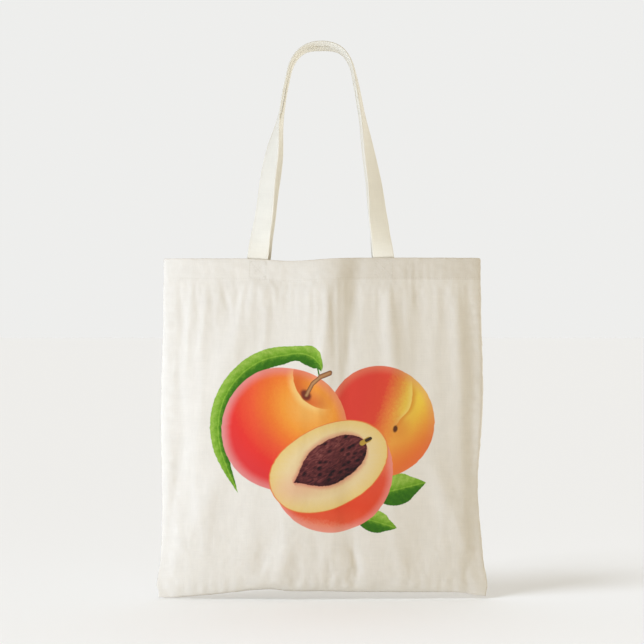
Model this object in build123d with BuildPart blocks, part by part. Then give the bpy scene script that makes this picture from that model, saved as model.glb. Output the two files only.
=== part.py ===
"""Cotton tote bag with two shoulder handles, hanging by its handles.

Millimetres, +Z up, front of the bag towards -Y. The origin is under the top of
the handles, where a hook or a hand would hold them.
"""
import math
import os

from build123d import *

# Driving dimensions
hem_top_z = -249.0          # mouth of the bag, below the top of the handles
hem_depth = 26.0            # folded band round the mouth
mouth_half_width = 190.0
mouth_half_depth = 12.0
corner_z = -655.0           # lowest point, at the two bottom corners
panel_gap = 0.3             # clearance between the front and the back panel
cloth_t = 0.8               # one layer of cloth, with its slack
hem_t = 2.0                 # three layers of cloth

strap_width = 25.4
strap_t = 1.8               # folded cloth, four layers
strap_clearance = 0.3
handle_root_gap = 2.5       # from the mouth's edge to the moving part of a handle
handle_top_half_y = 13.4    # each handle lies on its own side of the middle
front_handle_half_x = 75.5  # middle of a handle leg at the mouth
back_handle_half_x = 73.0

thread_w = 0.7
thread_t = 0.4
thread_lift = 0.05
hem_stitch_z = hem_top_z - hem_depth + 1.8
box_size = 20.0             # the sewn square on each handle end
strap_stitch_inset = 2.2
strap_thread_lift = 0.2

seam_allowance = 9.0
seam_t = 1.0
seam_from_edge = 5.0
seam_bottom_z = -616.0
bottom_seam_z = (-634.0, -625.0)
bottom_seam_half_x = 170.0

# Height, half width and half depth of the filled bag below its hem
belly = (
    (hem_top_z - hem_depth, mouth_half_width, mouth_half_depth),
    (-310.0, 190.3, 18.0),
    (-360.0, 191.0, 25.0),
    (-430.0, 191.5, 30.0),
    (-500.0, 190.0, 31.0),
    (-550.0, 189.0, 28.0),
    (-590.0, 189.8, 21.0),
    (-616.0, 192.0, 13.0),
    (-630.0, 195.0, 7.5),
    (-638.0, 197.0, 4.4),
)
flat_bottom = (
    (-645.0, 199.5, 1.8),
    (corner_z, 201.0, 1.4),
)

# Right half of the bottom edge, from the middle to the corner
bottom_edge = (
    (0.0, -644.5),
    (120.0, -645.5),
    (170.0, -649.0),
    (202.0, corner_z - 1.0),
)

# Front view of a handle's right leg, as x over the leg's x at the mouth, and z
handle_leg = (
    (1.0, hem_top_z + handle_root_gap),
    (0.885, -180.0),
    (0.765, -120.0),
    (0.640, -70.0),
    (0.575, -40.0),
    (0.490, -14.0),
    (0.300, 3.5),
)
handle_top_z = 8.5
twist_low_z = -250.0        # a handle lies flat on its panel here
twist_high_z = -70.0        # and has turned edge-on here
handle_steps = 14

os.makedirs("parts", exist_ok=True)


def mouth_depth_at(x, half_width, half_depth):
    """Distance from the middle plane to an elliptical wall at this x."""
    return half_depth * math.sqrt(1.0 - (x / half_width) ** 2)


def mouth_slope_at(x, half_width, half_depth):
    """Turn about Z, in degrees, of the elliptical wall at this x."""
    depth = mouth_depth_at(x, half_width, half_depth)
    return math.degrees(math.atan(half_depth**2 * x / (half_width**2 * depth)))


def export(piece, name):
    piece.part.label = name
    export_step(piece.part, f"parts/{name}.step")


def make_filled_shape(levels, inset, hem_inset, above):
    """The filled bag as one block, shrunk by an inset for its inside."""
    with BuildPart() as shape:
        for height, half_width, half_depth in levels:
            with BuildSketch(Plane.XY.offset(height)):
                Ellipse(half_width - inset, half_depth - inset)
        loft()
        with BuildSketch(Plane.XY.offset(hem_top_z - hem_depth)):
            Ellipse(mouth_half_width - hem_inset, mouth_half_depth - hem_inset)
        extrude(amount=hem_depth + above)
    return shape


def make_panel(side):
    """One face of the bag with its folded hem. side is -1 front, +1 back."""
    outside = make_filled_shape(belly + flat_bottom, 0.0, 0.0, 0.0)
    inside = make_filled_shape(belly, cloth_t, hem_t, 1.0)
    with BuildPart() as panel:
        add(outside.part)
        add(inside.part, mode=Mode.SUBTRACT)
        with BuildSketch(Plane.XZ):
            with BuildLine():
                right = [(x, z) for x, z in bottom_edge]
                left = [(-x, z) for x, z in reversed(bottom_edge[1:])]
                Spline(*left, *right)
                below = corner_z - 40.0
                end_x, end_z = bottom_edge[-1]
                Polyline((end_x, end_z), (end_x, below), (-end_x, below), (-end_x, end_z))
            make_face()
        extrude(amount=mouth_half_depth, both=True, mode=Mode.SUBTRACT)
        keep = Keep.TOP if side < 0 else Keep.BOTTOM
        split(bisect_by=Plane.XZ.offset(-side * panel_gap / 2.0), keep=keep)
    return panel


def handle_stations(side, half_x):
    """Planes down a handle's right half: x across the strap, y through it, z along it."""
    right = [(half_x * share, z) for share, z in reversed(handle_leg)]
    left = [(-x, z) for x, z in reversed(right)]
    root_y = strap_middle_y(half_x)
    with BuildLine(Plane.XZ) as path:
        Spline(*left, (0.0, handle_top_z), *right)
    curve = path.edges()[0]
    stations = []
    for index in range(handle_steps + 1):
        share = 0.5 + 0.5 * index / handle_steps
        point = curve.position_at(share)
        along = curve.tangent_at(share)
        rise = (point.Z - twist_low_z) / (twist_high_z - twist_low_z)
        rise = min(max(rise, 0.0), 1.0)
        turn = math.radians(90.0) * rise
        depth = root_y + (handle_top_half_y - root_y) * rise
        outward = Vector(-along.Z, 0.0, along.X)
        facing = outward * math.sin(turn) + Vector(0.0, side, 0.0) * math.cos(turn)
        across = along.cross(facing)
        origin = Vector(point.X, side * depth, point.Z)
        stations.append(Plane(origin=origin, x_dir=across, z_dir=along))
    return stations


def strap_middle_y(x):
    """Depth of the middle of a strap sewn inside the hem at this x."""
    wall = mouth_depth_at(x, mouth_half_width - hem_t, mouth_half_depth - hem_t)
    return wall - strap_clearance - strap_t / 2.0


def make_handle(stations):
    with BuildPart() as handle:
        for station in stations:
            with BuildSketch(station):
                Rectangle(strap_width, strap_t)
        loft()
        mirror(about=Plane.YZ)
    return handle


def make_handle_stitching(stations):
    """Two rows of stitches along the edges of a handle, on its outer face."""
    row_x = strap_width / 2.0 - strap_stitch_inset
    row_y = strap_t / 2.0 + strap_thread_lift + thread_t / 2.0
    with BuildPart() as rows:
        for edge in (-1, 1):
            for station in stations:
                with BuildSketch(station):
                    with Locations((edge * row_x, row_y)):
                        Rectangle(thread_w, thread_t)
            loft()
        mirror(about=Plane.YZ)
    return rows


def make_handle_end(side, x):
    """The end of a strap, sewn flat on the inside of the hem."""
    turn = -side * mouth_slope_at(x, mouth_half_width, mouth_half_depth)
    centre = (x, side * strap_middle_y(x), hem_top_z - hem_depth / 2.0)
    with BuildPart() as end:
        with Locations(Location(centre, (0.0, 0.0, turn))):
            Box(strap_width, strap_t, hem_depth)
    return end


def make_box_stitching(side, x):
    """A sewn square with its two diagonals, on the outside of the hem."""
    wall = mouth_depth_at(x, mouth_half_width, mouth_half_depth)
    turn = -side * mouth_slope_at(x, mouth_half_width, mouth_half_depth)
    lift = wall + thread_lift
    frame = Location((x, side * lift, hem_top_z - hem_depth / 2.0), (0.0, 0.0, turn))
    plane = Plane(frame) * Plane.XZ
    diagonal = box_size * math.sqrt(2.0)
    with BuildPart() as stitching:
        with BuildSketch(plane):
            Rectangle(box_size + thread_w, box_size + thread_w)
            Rectangle(box_size - thread_w, box_size - thread_w, mode=Mode.SUBTRACT)
            Rectangle(diagonal, thread_w, rotation=45.0)
            Rectangle(diagonal, thread_w, rotation=-45.0)
        extrude(amount=-side * thread_t)
    return stitching


def make_hem_stitching(side):
    """The run of thread that holds the fold of the hem."""
    inner = thread_lift
    outer = thread_lift + thread_t
    with BuildPart() as run:
        with BuildSketch(Plane.XY.offset(hem_stitch_z)):
            Ellipse(mouth_half_width + outer, mouth_half_depth + outer)
            Ellipse(mouth_half_width + inner, mouth_half_depth + inner, mode=Mode.SUBTRACT)
        extrude(amount=thread_w)
        keep = Keep.TOP if side < 0 else Keep.BOTTOM
        split(bisect_by=Plane.XZ.offset(-side * panel_gap / 2.0), keep=keep)
    return run


def make_side_seam(side_x):
    """The overlocked edges of both panels, inside the bag down one side."""
    levels = [(hem_top_z - 1.0, mouth_half_width)]
    levels += [(height, width) for height, width, _ in belly if height >= seam_bottom_z]
    with BuildPart() as seam:
        for height, half_width in levels:
            middle = side_x * (half_width - seam_from_edge - seam_allowance / 2.0)
            with BuildSketch(Plane.XY.offset(height)):
                with Locations((middle, 0.0)):
                    Rectangle(seam_allowance, seam_t)
        loft()
    return seam


for side, face, half_x in ((-1, "front", front_handle_half_x), (1, "back", back_handle_half_x)):
    export(make_panel(side), f"{face}_panel")
    export(make_hem_stitching(side), f"{face}_hem_stitching")
    stations = handle_stations(side, half_x)
    export(make_handle(stations), f"{face}_handle")
    export(make_handle_stitching(stations), f"{face}_handle_stitching")
    for hand, x in (("left", -half_x), ("right", half_x)):
        export(make_handle_end(side, x), f"{face}_{hand}_handle_end")
        export(make_box_stitching(side, x), f"{face}_{hand}_box_stitching")

for hand, side_x in (("left", -1), ("right", 1)):
    export(make_side_seam(side_x), f"{hand}_side_seam")

low_z, high_z = bottom_seam_z
with BuildPart() as bottom_seam:
    with BuildSketch(Plane.XY.offset(low_z)):
        Rectangle(2.0 * bottom_seam_half_x, seam_t)
    extrude(amount=high_z - low_z)
export(bottom_seam, "bottom_seam")
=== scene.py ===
"""Cotton tote bag with printed peaches: cloth, straps, stitches, print and studio."""
import math

import bmesh
import bpy
import numpy as np
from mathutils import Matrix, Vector
from mathutils.bvhtree import BVHTree


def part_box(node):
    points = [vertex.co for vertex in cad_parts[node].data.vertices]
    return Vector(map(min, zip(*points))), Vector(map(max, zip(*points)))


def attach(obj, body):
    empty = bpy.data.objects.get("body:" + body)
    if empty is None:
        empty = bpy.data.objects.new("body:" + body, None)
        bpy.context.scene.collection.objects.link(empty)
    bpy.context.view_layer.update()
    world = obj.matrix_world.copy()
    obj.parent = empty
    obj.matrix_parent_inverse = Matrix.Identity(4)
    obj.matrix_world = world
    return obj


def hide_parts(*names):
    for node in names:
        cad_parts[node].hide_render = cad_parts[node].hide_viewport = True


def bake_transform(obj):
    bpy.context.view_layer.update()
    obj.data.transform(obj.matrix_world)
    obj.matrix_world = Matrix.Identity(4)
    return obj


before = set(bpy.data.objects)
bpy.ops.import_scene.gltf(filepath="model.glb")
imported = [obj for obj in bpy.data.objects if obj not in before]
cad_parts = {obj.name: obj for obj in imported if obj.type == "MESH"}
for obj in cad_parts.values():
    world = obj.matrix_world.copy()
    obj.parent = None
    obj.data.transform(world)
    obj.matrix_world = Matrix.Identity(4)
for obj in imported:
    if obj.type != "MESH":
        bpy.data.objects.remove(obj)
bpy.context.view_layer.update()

MM = 0.001

# Cloth, in metres
COLUMNS = 104               # quads across one face of the bag
ROWS = 108                  # quads from the mouth to the bottom
CLOTH_T = 0.0006
FLANGE_DEPTH = 0.0015       # half the bag's depth at its very bottom
HEM_DEPTH = 0.026
HEM_GAP = 0.0011            # from the outer layer of the hem to the inner one
HEM_RETURN_ROWS = 7
HEM_CROWN = 0.0005          # how far the turned edge rises above the mouth line
HEM_DROP = 0.0006           # how far the inner layer stays below the outer one
HEM_PULL = 0.004            # how far the inner layer draws back from each side seam
HEM_PULL_REACH = 0.012
SEAM_CLEARANCE = 0.0002     # each face stops this far from the middle plane
FLOOR_CLEARANCE = 0.0006    # and this far above the lowest corner
STITCH_PITCH = 0.0031
STRAP_X = 0.075             # about the middle of each sewn handle end

# Folds, gathers and the dip along a row of stitches: how far they move the cloth
HEM_PUCKER = 0.00040
SIDE_PUCKER = 0.00055
FOOT_PUCKER = 0.00060
STITCH_DIP = 0.00030

# Cloth simulation
SIM_FRAMES = 26
SIM_NOISE = 0.00025         # uneven start, in metres
SIM_REACH = 0.007           # how far the simulation may move a point
SIM_RISE = 0.2              # share of that motion kept up and down, as the seams hold the height

# Handles, in metres
STRAP_W = 0.0254
STRAP_T = 0.0018
HANDLE_TOP_Y = 0.0134
STRAP_IN_HEM = 0.0245       # how far a sewn end reaches down inside the hem

SIDES = {"front": -1, "back": 1}
PANEL_BODY = {"front": "front", "back": "bag"}

rng = np.random.default_rng(7)


# ---------------------------------------------------------------- helpers


def smooth(value, start, end):
    """0 before start, 1 after end, and a smooth rise between."""
    t = np.clip((np.asarray(value, float) - start) / (end - start), 0.0, 1.0)
    return t * t * (3.0 - 2.0 * t)


def path_length(steps):
    """Length run at each point of a line, from the steps between its points."""
    return np.concatenate([[0.0], np.cumsum(steps)])


def add_object(name, data):
    item = bpy.data.objects.new(name, data)
    bpy.context.scene.collection.objects.link(item)
    return item


def new_piece(name, vertices, faces, material=None, smooth_shaded=True):
    mesh = bpy.data.meshes.new(name)
    mesh.from_pydata([tuple(v) for v in vertices], [], faces)
    mesh.update()
    piece = add_object(name, mesh)
    if material is not None:
        mesh.materials.append(material)
    if smooth_shaded:
        mesh.polygons.foreach_set("use_smooth", np.ones(len(mesh.polygons), bool))
    return piece


def points_of(piece):
    co = np.zeros(len(piece.data.vertices) * 3)
    piece.data.vertices.foreach_get("co", co)
    return co.reshape(-1, 3)


def set_cut(piece, places):
    """Keeps where each point lies on the flat cloth, for the weave and the print."""
    cut = piece.data.attributes.new("cut", "FLOAT_VECTOR", "POINT")
    cut.data.foreach_set("vector", np.ravel(places))


def apply_modifiers(piece):
    bpy.context.view_layer.objects.active = piece
    for modifier in list(piece.modifiers):
        with bpy.context.temp_override(object=piece, active_object=piece):
            bpy.ops.object.modifier_apply(modifier=modifier.name)


def grid_faces(rows, columns, flip=False):
    """Quads of a grid of (rows + 1) x (columns + 1) points, row by row."""
    faces = []
    for j in range(rows):
        for i in range(columns):
            a = j * (columns + 1) + i
            quad = (a, a + 1, a + columns + 2, a + columns + 1)
            faces.append(quad[::-1] if flip else quad)
    return faces


def tube_faces(first, rings, size):
    """Faces of a closed tube of rings with size points each, from point first on."""
    faces = []
    for ring in range(rings - 1):
        for k in range(size):
            a, b = first + ring * size + k, first + ring * size + (k + 1) % size
            faces.append((a, b, b + size, a + size))
    tip = first + (rings - 1) * size
    return [*faces, tuple(range(first, first + size))[::-1], tuple(range(tip, tip + size))]


# ---------------------------------------------------------------- shape of the filled bag


def tree_of(mesh_object):
    mesh = mesh_object.data
    corners = [v.co.copy() for v in mesh.vertices]
    return BVHTree.FromPolygons(corners, [list(p.vertices) for p in mesh.polygons])


cad_front = tree_of(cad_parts["front_panel"])
hem_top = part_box("front_panel")[1].z
corner_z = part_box("front_panel")[0].z
sample_heights = np.linspace(hem_top - 0.001, corner_z + 0.0015, 90)
OUTSIDE = 0.5


def half_width_at(height):
    """Half width of the bag: the furthest hit of a few rays at different depths."""
    found = []
    for depth in (0.5, 0.7, 0.9, 1.1, 1.3):
        start = Vector((OUTSIDE, -depth * MM, height))
        hit = cad_front.ray_cast(start, Vector((-1, 0, 0)))[0]
        if hit is not None:
            found.append(hit.x)
    return max(found, default=math.nan)


def half_depth_at(height):
    """Depth of the front wall, or of the flat flange at the very bottom."""
    hit = cad_front.ray_cast(Vector((0, -OUTSIDE, height)), Vector((0, 1, 0)))[0]
    return FLANGE_DEPTH if hit is None else -hit.y


widths = np.array([half_width_at(z) for z in sample_heights])
measured = ~np.isnan(widths)
widths = np.interp(-sample_heights, -sample_heights[measured], widths[measured])
depths = np.array([half_depth_at(z) for z in sample_heights])
mouth_half = float(widths[0])


def width_of(z):
    return np.interp(-z, -sample_heights, widths)


def depth_of(z):
    return np.interp(-z, -sample_heights, depths)


def bump(value, middle, half_range):
    return np.exp(-(((np.asarray(value) - middle) / half_range) ** 2))


def mouth_line(x):
    """The mouth's edge sags a little between the left handle leg and the middle."""
    return hem_top - 0.0032 * bump(x, -0.036, 0.034) + 0.0008 * smooth(x, 0.0, 0.06)


# Places along the bottom edge: x, and how far it rises above the lowest corner, in millimetres
BOTTOM_RISE = ((-200, 0.8), (-190, 0.8), (-128, 6.4), (-76, 12.6), (-60, 12.6), (-38, 10.2),
               (60, 9.2), (160, 8.8), (186, 5.0), (200, 3.4))


def bottom_line(x):
    """The bottom edge: low at the corners, with a kink left of the middle."""
    places, rises = np.array(BOTTOM_RISE, float).T * MM
    spread = [np.interp(np.asarray(x) + shift, places, rises) for shift in (-0.006, 0.0, 0.006)]
    return corner_z + sum(spread) / 3.0


def waist(x, z):
    """How far the right side pulls in above its bottom corner."""
    return 0.0065 * bump(z, -0.515, 0.062) * smooth(x / width_of(z), 0.25, 1.0)


def even_across(half_width, half_depth, count):
    """x of points at even steps along half an ellipse, left to right."""
    angle = np.linspace(math.pi, 0.0, 721)
    x = half_width * np.cos(angle)
    y = half_depth * np.sin(angle)
    along = path_length(np.hypot(np.diff(x), np.diff(y)))
    return np.interp(np.linspace(0.0, along[-1], count), along, x)


def ridge(x, z, start, end, width, height):
    """A soft fold in the cloth along a line in the front view, in millimetres."""
    ax, az, bx, bz = (value * MM for value in (*start, *end))
    length = math.hypot(bx - ax, bz - az)
    ux, uz = (bx - ax) / length, (bz - az) / length
    along = (x - ax) * ux + (z - az) * uz
    off = -(x - ax) * uz + (z - az) * ux
    fade = smooth(along, -0.35 * length, 0.25 * length)
    fade = fade * (1.0 - smooth(along, 0.75 * length, 1.35 * length))
    return height * MM * np.exp(-((off / (width * MM)) ** 2)) * fade


# start, end, width and height of each fold, in millimetres of the front view
FOLDS = {
    "front": (
        ((18, -216), (-6, -340), 35, 12.0),
        ((46, -226), (26, -372), 13, -5.5),
        ((78, -285), (84, -372), 9, 3.0),
        ((118, -262), (112, -420), 16, -3.2),
        ((-98, -288), (-172, -352), 13, -4.6),
        ((-62, -262), (-128, -398), 16, 3.4),
        ((-130, -520), (-196, -650), 15, 5.0),
        ((-164, -470), (-186, -590), 9, -3.4),
        ((136, -500), (196, -650), 14, 5.0),
        ((176, -440), (188, -610), 10, -5.5),
        ((36, -594), (44, -622), 5, -2.6),
        ((-56, -644), (-42, -596), 9, 3.0),
        ((100, -642), (92, -600), 9, 1.8),
        ((158, -285), (172, -440), 11, 2.6),
        ((10, -560), (60, -470), 26, -2.6),
        ((-84, -600), (-30, -520), 20, 2.4),
    ),
    "back": (
        ((-20, -240), (26, -352), 25, 5.6),
        ((-52, -240), (-36, -380), 15, -4.6),
        ((70, -285), (130, -400), 14, 3.6),
        ((104, -290), (164, -360), 12, -3.4),
        ((-84, -285), (-96, -400), 12, 3.0),
        ((-124, -505), (-193, -648), 13, 5.0),
        ((-176, -480), (-187, -600), 9, -4.4),
        ((126, -500), (193, -648), 13, 5.4),
        ((170, -500), (187, -600), 9, -3.6),
        ((-30, -598), (-38, -624), 6, -2.6),
        ((20, -600), (-40, -500), 24, 2.6),
    ),
}


def face_grid(face):
    """Points of one face of the bag, row by row from the mouth to the bottom."""
    side = SIDES[face]
    grid = np.zeros((ROWS + 1, COLUMNS + 1, 3))
    for j in range(ROWS + 1):
        share = j / ROWS
        level = hem_top + (corner_z + 0.010 - hem_top) * share
        x = even_across(width_of(level), depth_of(level), COLUMNS + 1)
        z = mouth_line(x) * (1.0 - share) + bottom_line(x) * share
        half = width_of(z)
        x = x * half / width_of(level)
        y = depth_of(z) * np.sqrt(np.clip(1.0 - (x / half) ** 2, 0.0, 1.0))
        grid[j] = np.stack([x - waist(x, z), side * y, z], axis=1)
    x, z = grid[..., 0], grid[..., 2]
    inside = 1.0 - smooth(np.abs(x) / width_of(z), 0.90, 1.0)
    slack = smooth(hem_top - z, -0.045, 0.030) * smooth(z - bottom_line(x), 0.0, 0.012)
    at_strap = bump(np.abs(x), STRAP_X, 0.024) * (1.0 - smooth(hem_top - z, 0.02, 0.045))
    for start, end, width, height in FOLDS[face]:
        lift = ridge(x, z, start, end, width, height)
        grid[..., 1] += side * lift * inside * slack * (1.0 - at_strap)
    return grid


# ---------------------------------------------------------------- cloth simulation

CANVAS_CLOTH = {
    "quality": 6,
    "mass": 0.15,
    "tension_stiffness": 30,
    "compression_stiffness": 30,
    "shear_stiffness": 8,
    "bending_stiffness": 0.35,
    "air_damping": 2.0,
    "shrink_min": -0.022,
    "use_pressure": True,
    "uniform_pressure_force": 1.6,
    "vertex_group_mass": "held",
    "pin_stiffness": 2.0,
}


def simulate(grids):
    """Lets both faces, joined at their seams, slacken under pressure and weight."""
    size = (ROWS + 1) * (COLUMNS + 1)
    index = {"front": np.arange(size).reshape(ROWS + 1, COLUMNS + 1)}
    index["back"] = index["front"] + size
    shared = np.arange(2 * size)
    for i in (0, COLUMNS):
        shared[index["back"][:, i]] = index["front"][:, i]
    shared[index["back"][ROWS]] = index["front"][ROWS]
    used = np.unique(shared)
    renumber = np.zeros(2 * size, int)
    renumber[used] = np.arange(len(used))
    start = np.concatenate([grids[face].reshape(-1, 3) for face in SIDES])
    seam = np.zeros((ROWS + 1, COLUMNS + 1), bool)
    seam[:, 0] = seam[:, -1] = seam[-1] = True
    start[:size][seam.ravel(), 1] = 0.0
    quads = grid_faces(ROWS, COLUMNS)
    joined = [tuple(renumber[shared[list(q)]])[::-1] for q in quads]
    joined += [tuple(renumber[shared[np.array(q) + size]]) for q in quads]
    cloth = new_piece("bag_simulation", start[used], joined)
    noise = rng.normal(0.0, SIM_NOISE, (len(used), 3))
    rest = points_of(cloth)
    cloth.data.vertices.foreach_set("co", (rest + noise).ravel())

    held = cloth.vertex_groups.new(name="held")
    for i, point in enumerate(rest):
        grip = float(1.0 - smooth(hem_top - point[2], HEM_DEPTH, HEM_DEPTH + 0.02))
        if grip > 0.0:
            held.add([i], grip, "REPLACE")
    modifier = cloth.modifiers.new("cloth", "CLOTH")
    for setting, value in CANVAS_CLOTH.items():
        setattr(modifier.settings, setting, value)
    modifier.collision_settings.use_self_collision = False
    modifier.collision_settings.use_collision = False
    modifier.point_cache.frame_start = 1
    modifier.point_cache.frame_end = SIM_FRAMES
    scene = bpy.context.scene
    for number in range(1, SIM_FRAMES + 1):
        scene.frame_set(number)
    apply_modifiers(cloth)
    scene.frame_set(1)
    moved = points_of(cloth)
    step = moved - rest
    step[:, 2] *= SIM_RISE
    reach = np.linalg.norm(step, axis=1, keepdims=True)
    moved = rest + step * (SIM_REACH * np.tanh(reach / SIM_REACH) / np.maximum(reach, 1e-9))
    bpy.data.objects.remove(cloth)
    result = {}
    for face in SIDES:
        flat = moved[renumber[shared[index[face].ravel()]]]
        result[face] = flat.reshape(ROWS + 1, COLUMNS + 1, 3)
    return result


# ---------------------------------------------------------------- cloth faces


def normals_of(grid):
    across = np.gradient(grid, axis=1)
    down = np.gradient(grid, axis=0)
    normal = np.cross(across, down)
    return normal / np.maximum(np.linalg.norm(normal, axis=2, keepdims=True), 1e-12)


def outward_of(face, grid):
    """Unit normals of a face's grid, pointing out of the bag."""
    normal = normals_of(grid)
    if (normal[ROWS // 2, COLUMNS // 2, 1] > 0.0) != (SIDES[face] > 0):
        normal = -normal
    return normal


def cut_coordinates(grid):
    """Where each point lies on the flat cloth, in metres: across, up and 0."""
    step = np.linalg.norm(np.diff(grid, axis=1), axis=2)
    across = np.concatenate([np.zeros((ROWS + 1, 1)), np.cumsum(step, axis=1)], axis=1)
    across = across - across[:, COLUMNS // 2][:, None]
    drop = np.linalg.norm(np.diff(grid, axis=0), axis=2).mean(axis=1)
    up = hem_top - path_length(drop)
    up = np.repeat(up[:, None], COLUMNS + 1, axis=1)
    return np.stack([across, up, np.zeros_like(up)], axis=2)


# Where the front's motion fades out towards each side, and fades in above the bottom
OPENING_X = (0.098, 0.186)
OPENING_Z = (0.006, 0.05)


def mouth_weight(points):
    """Share of the front's motion that a point of the front face takes."""
    x, z = points[:, 0], points[:, 2]
    return (1.0 - smooth(np.abs(x), *OPENING_X)) * smooth(z - corner_z, *OPENING_Z)


def blend_front(piece):
    """Bakes the piece's transform and works out each point's share of the front's motion, which is not
    kept.
    """
    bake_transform(piece)
    weight = mouth_weight(points_of(piece))


def pucker(face, grid):
    """Small gathers where thread pulls the cloth: at the hem, the seams and the box seams."""
    side = SIDES[face]
    x, z = grid[..., 0], grid[..., 2]
    drop = mouth_line(x) - z
    phase = 5.0 * np.sin(x * 61.0 + side) + 3.0 * np.sin(x * 23.0)
    ripple = np.sin(2.0 * math.pi * x / 0.0125 + phase)
    ripple = ripple + 0.6 * np.sin(2.0 * math.pi * x / 0.0071 - phase)
    uneven = 0.55 + 0.45 * np.sin(x * 37.0 + 2.0 * side)
    right_more = 0.75 + 0.45 * smooth(x, 0.02, 0.10)
    at_hem = np.where(drop < HEM_DEPTH, bump(drop, HEM_DEPTH, 0.022), bump(drop, HEM_DEPTH, 0.006))
    off_strap = 1.0 - 0.9 * bump(np.abs(x), STRAP_X, 0.017)
    lift = HEM_PUCKER * ripple * uneven * right_more * at_hem * off_strap
    lift = lift - STITCH_DIP * bump(drop, HEM_DEPTH - 0.0012, 0.0016)
    edge = width_of(z) - np.abs(x)
    wave = np.sin(2.0 * math.pi * z / 0.0165 + 4.0 * np.sin(z * 41.0) + np.sign(x))
    lift = lift + SIDE_PUCKER * wave * bump(edge, 0.007, 0.008) * smooth(drop, 0.01, 0.05)
    foot = z - bottom_line(x)
    gather = np.sin(2.0 * math.pi * x / 0.019 + 4.0 * np.sin(x * 47.0))
    lift = lift + FOOT_PUCKER * gather * bump(foot, 0.008, 0.009)
    return grid + outward_of(face, grid) * lift[..., None]


def keep_to_side(side, grid):
    grid[..., 1] = side * np.maximum(side * grid[..., 1], SEAM_CLEARANCE)


def make_face(face, grid, outer_material, inner_material):
    """One face of the bag: its cloth, turned in at the mouth to make the hem."""
    grid = pucker(face, grid)
    grid[..., 2] = np.maximum(grid[..., 2], corner_z + FLOOR_CLEARANCE)
    side = SIDES[face]
    keep_to_side(side, grid)
    outward = outward_of(face, grid)
    layout = cut_coordinates(grid)
    hem_rows = int(np.argmin(np.abs(grid[:, COLUMNS // 2, 2] - (hem_top - HEM_DEPTH))))
    turned = []
    turned_layout = []
    picks = np.linspace(hem_rows + 0.6, 0.0, HEM_RETURN_ROWS)
    inward = HEM_GAP + CLOTH_T
    mouth_x = grid[0, :, 0]
    pull = np.zeros((COLUMNS + 1, 3))
    near_side = smooth(np.abs(mouth_x), mouth_half - HEM_PULL_REACH, mouth_half)
    pull[:, 0] = np.sign(mouth_x) * HEM_PULL * near_side
    drop = np.array([0.0, 0.0, HEM_DROP])
    for pick in picks:
        low = int(math.floor(pick))
        part = pick - low
        row = grid[low] * (1.0 - part) + grid[min(low + 1, ROWS)] * part
        turned.append(row - outward[low] * inward - pull - drop * (1.0 - part))
        turned_layout.append(layout[low])
    turned.append(grid[0] - outward[0] * inward * 0.5 - pull * 0.5 + np.array([0.0, 0.0, HEM_CROWN]))
    turned_layout.append(layout[0])
    sheet = np.concatenate([turned, grid])
    keep_to_side(side, sheet)
    faces = grid_faces(len(sheet) - 1, COLUMNS, flip=side < 0)
    piece = new_piece(f"{face}_cloth", sheet.reshape(-1, 3), faces, outer_material)
    piece.data.materials.append(inner_material)
    set_cut(piece, np.concatenate([turned_layout, layout]))
    finer = piece.modifiers.new("finer", "SUBSURF")
    finer.levels = finer.render_levels = 1
    finer.boundary_smooth = "PRESERVE_CORNERS"
    thick = piece.modifiers.new("thick", "SOLIDIFY")
    thick.thickness = CLOTH_T
    thick.offset = -1.0
    thick.material_offset = 1
    thick.material_offset_rim = 1
    apply_modifiers(piece)
    return piece, grid


# ---------------------------------------------------------------- handles

# Front view of a handle's leg: x as a share of its x at the mouth, and height
LEG = (
    (1.0, hem_top),
    (0.880, -0.180),
    (0.760, -0.120),
    (0.640, -0.070),
    (0.565, -0.040),
    (0.470, -0.014),
    (0.285, 0.0018),
)
HANDLE_TOP_Z = {"front": 0.0072, "back": 0.0050}
# Height, and degrees that a leg has turned from flat on the bag to edge-on
TWIST = {
    "left": ((-0.249, 8), (-0.217, 24), (-0.178, 36), (-0.140, 43), (-0.119, 52), (-0.102, 67),
             (-0.085, 83), (-0.065, 90)),
    "right": ((-0.249, 20), (-0.202, 30), (-0.160, 47), (-0.129, 57), (-0.099, 69), (-0.082, 77),
              (-0.037, 81), (0.0, 90)),
}
# x of the left and the right leg at the mouth, and how far the left leg leans in half way up
LEGS = {"front": (-0.0768, 0.0734, 0.0), "back": (-0.0745, 0.0730, 0.0014)}
STRAP_STEP = 0.0009
EDGE_ROW = 0.0102           # from the middle of the strap to each row of stitches
ROW_DIP = 0.07              # share of the strap's thickness lost along each row
ROW_PUFF = 0.03             # and its rise and fall from stitch to stitch
# Places across half the strap, as shares of its half width
PROFILE = (0.0, 0.25, 0.5, 0.68, 0.76, 0.803, 0.845, 0.90, 0.945, 0.975, 0.994, 1.0)


def smooth_curve(points, step):
    """Evenly spaced points on a smooth curve through the given ones."""
    points = np.array(points, float)
    before = 2 * points[0] - points[1]
    after = 2 * points[-1] - points[-2]
    padded = np.vstack([before, points, after])
    fine = []
    for a, b, c, d in zip(padded, padded[1:], padded[2:], padded[3:]):
        t = np.linspace(0.0, 1.0, 40, endpoint=False)[:, None]
        fine.append(0.5 * (2 * b + (c - a) * t + (2 * a - 5 * b + 4 * c - d) * t ** 2
                           + (3 * b - a - 3 * c + d) * t ** 3))
    fine = np.vstack([*fine, points[-1:]])
    length = path_length(np.linalg.norm(np.diff(fine, axis=0), axis=1))
    at = np.linspace(0.0, length[-1], int(length[-1] / step) + 1)
    return np.stack([np.interp(at, length, fine[:, k]) for k in range(fine.shape[1])], axis=1), at


def soften(values, reach):
    """Running mean over an array, with its ends held."""
    wide = np.pad(values, reach, mode="edge")
    return np.convolve(wide, np.ones(2 * reach + 1) / (2 * reach + 1), mode="valid")


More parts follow.
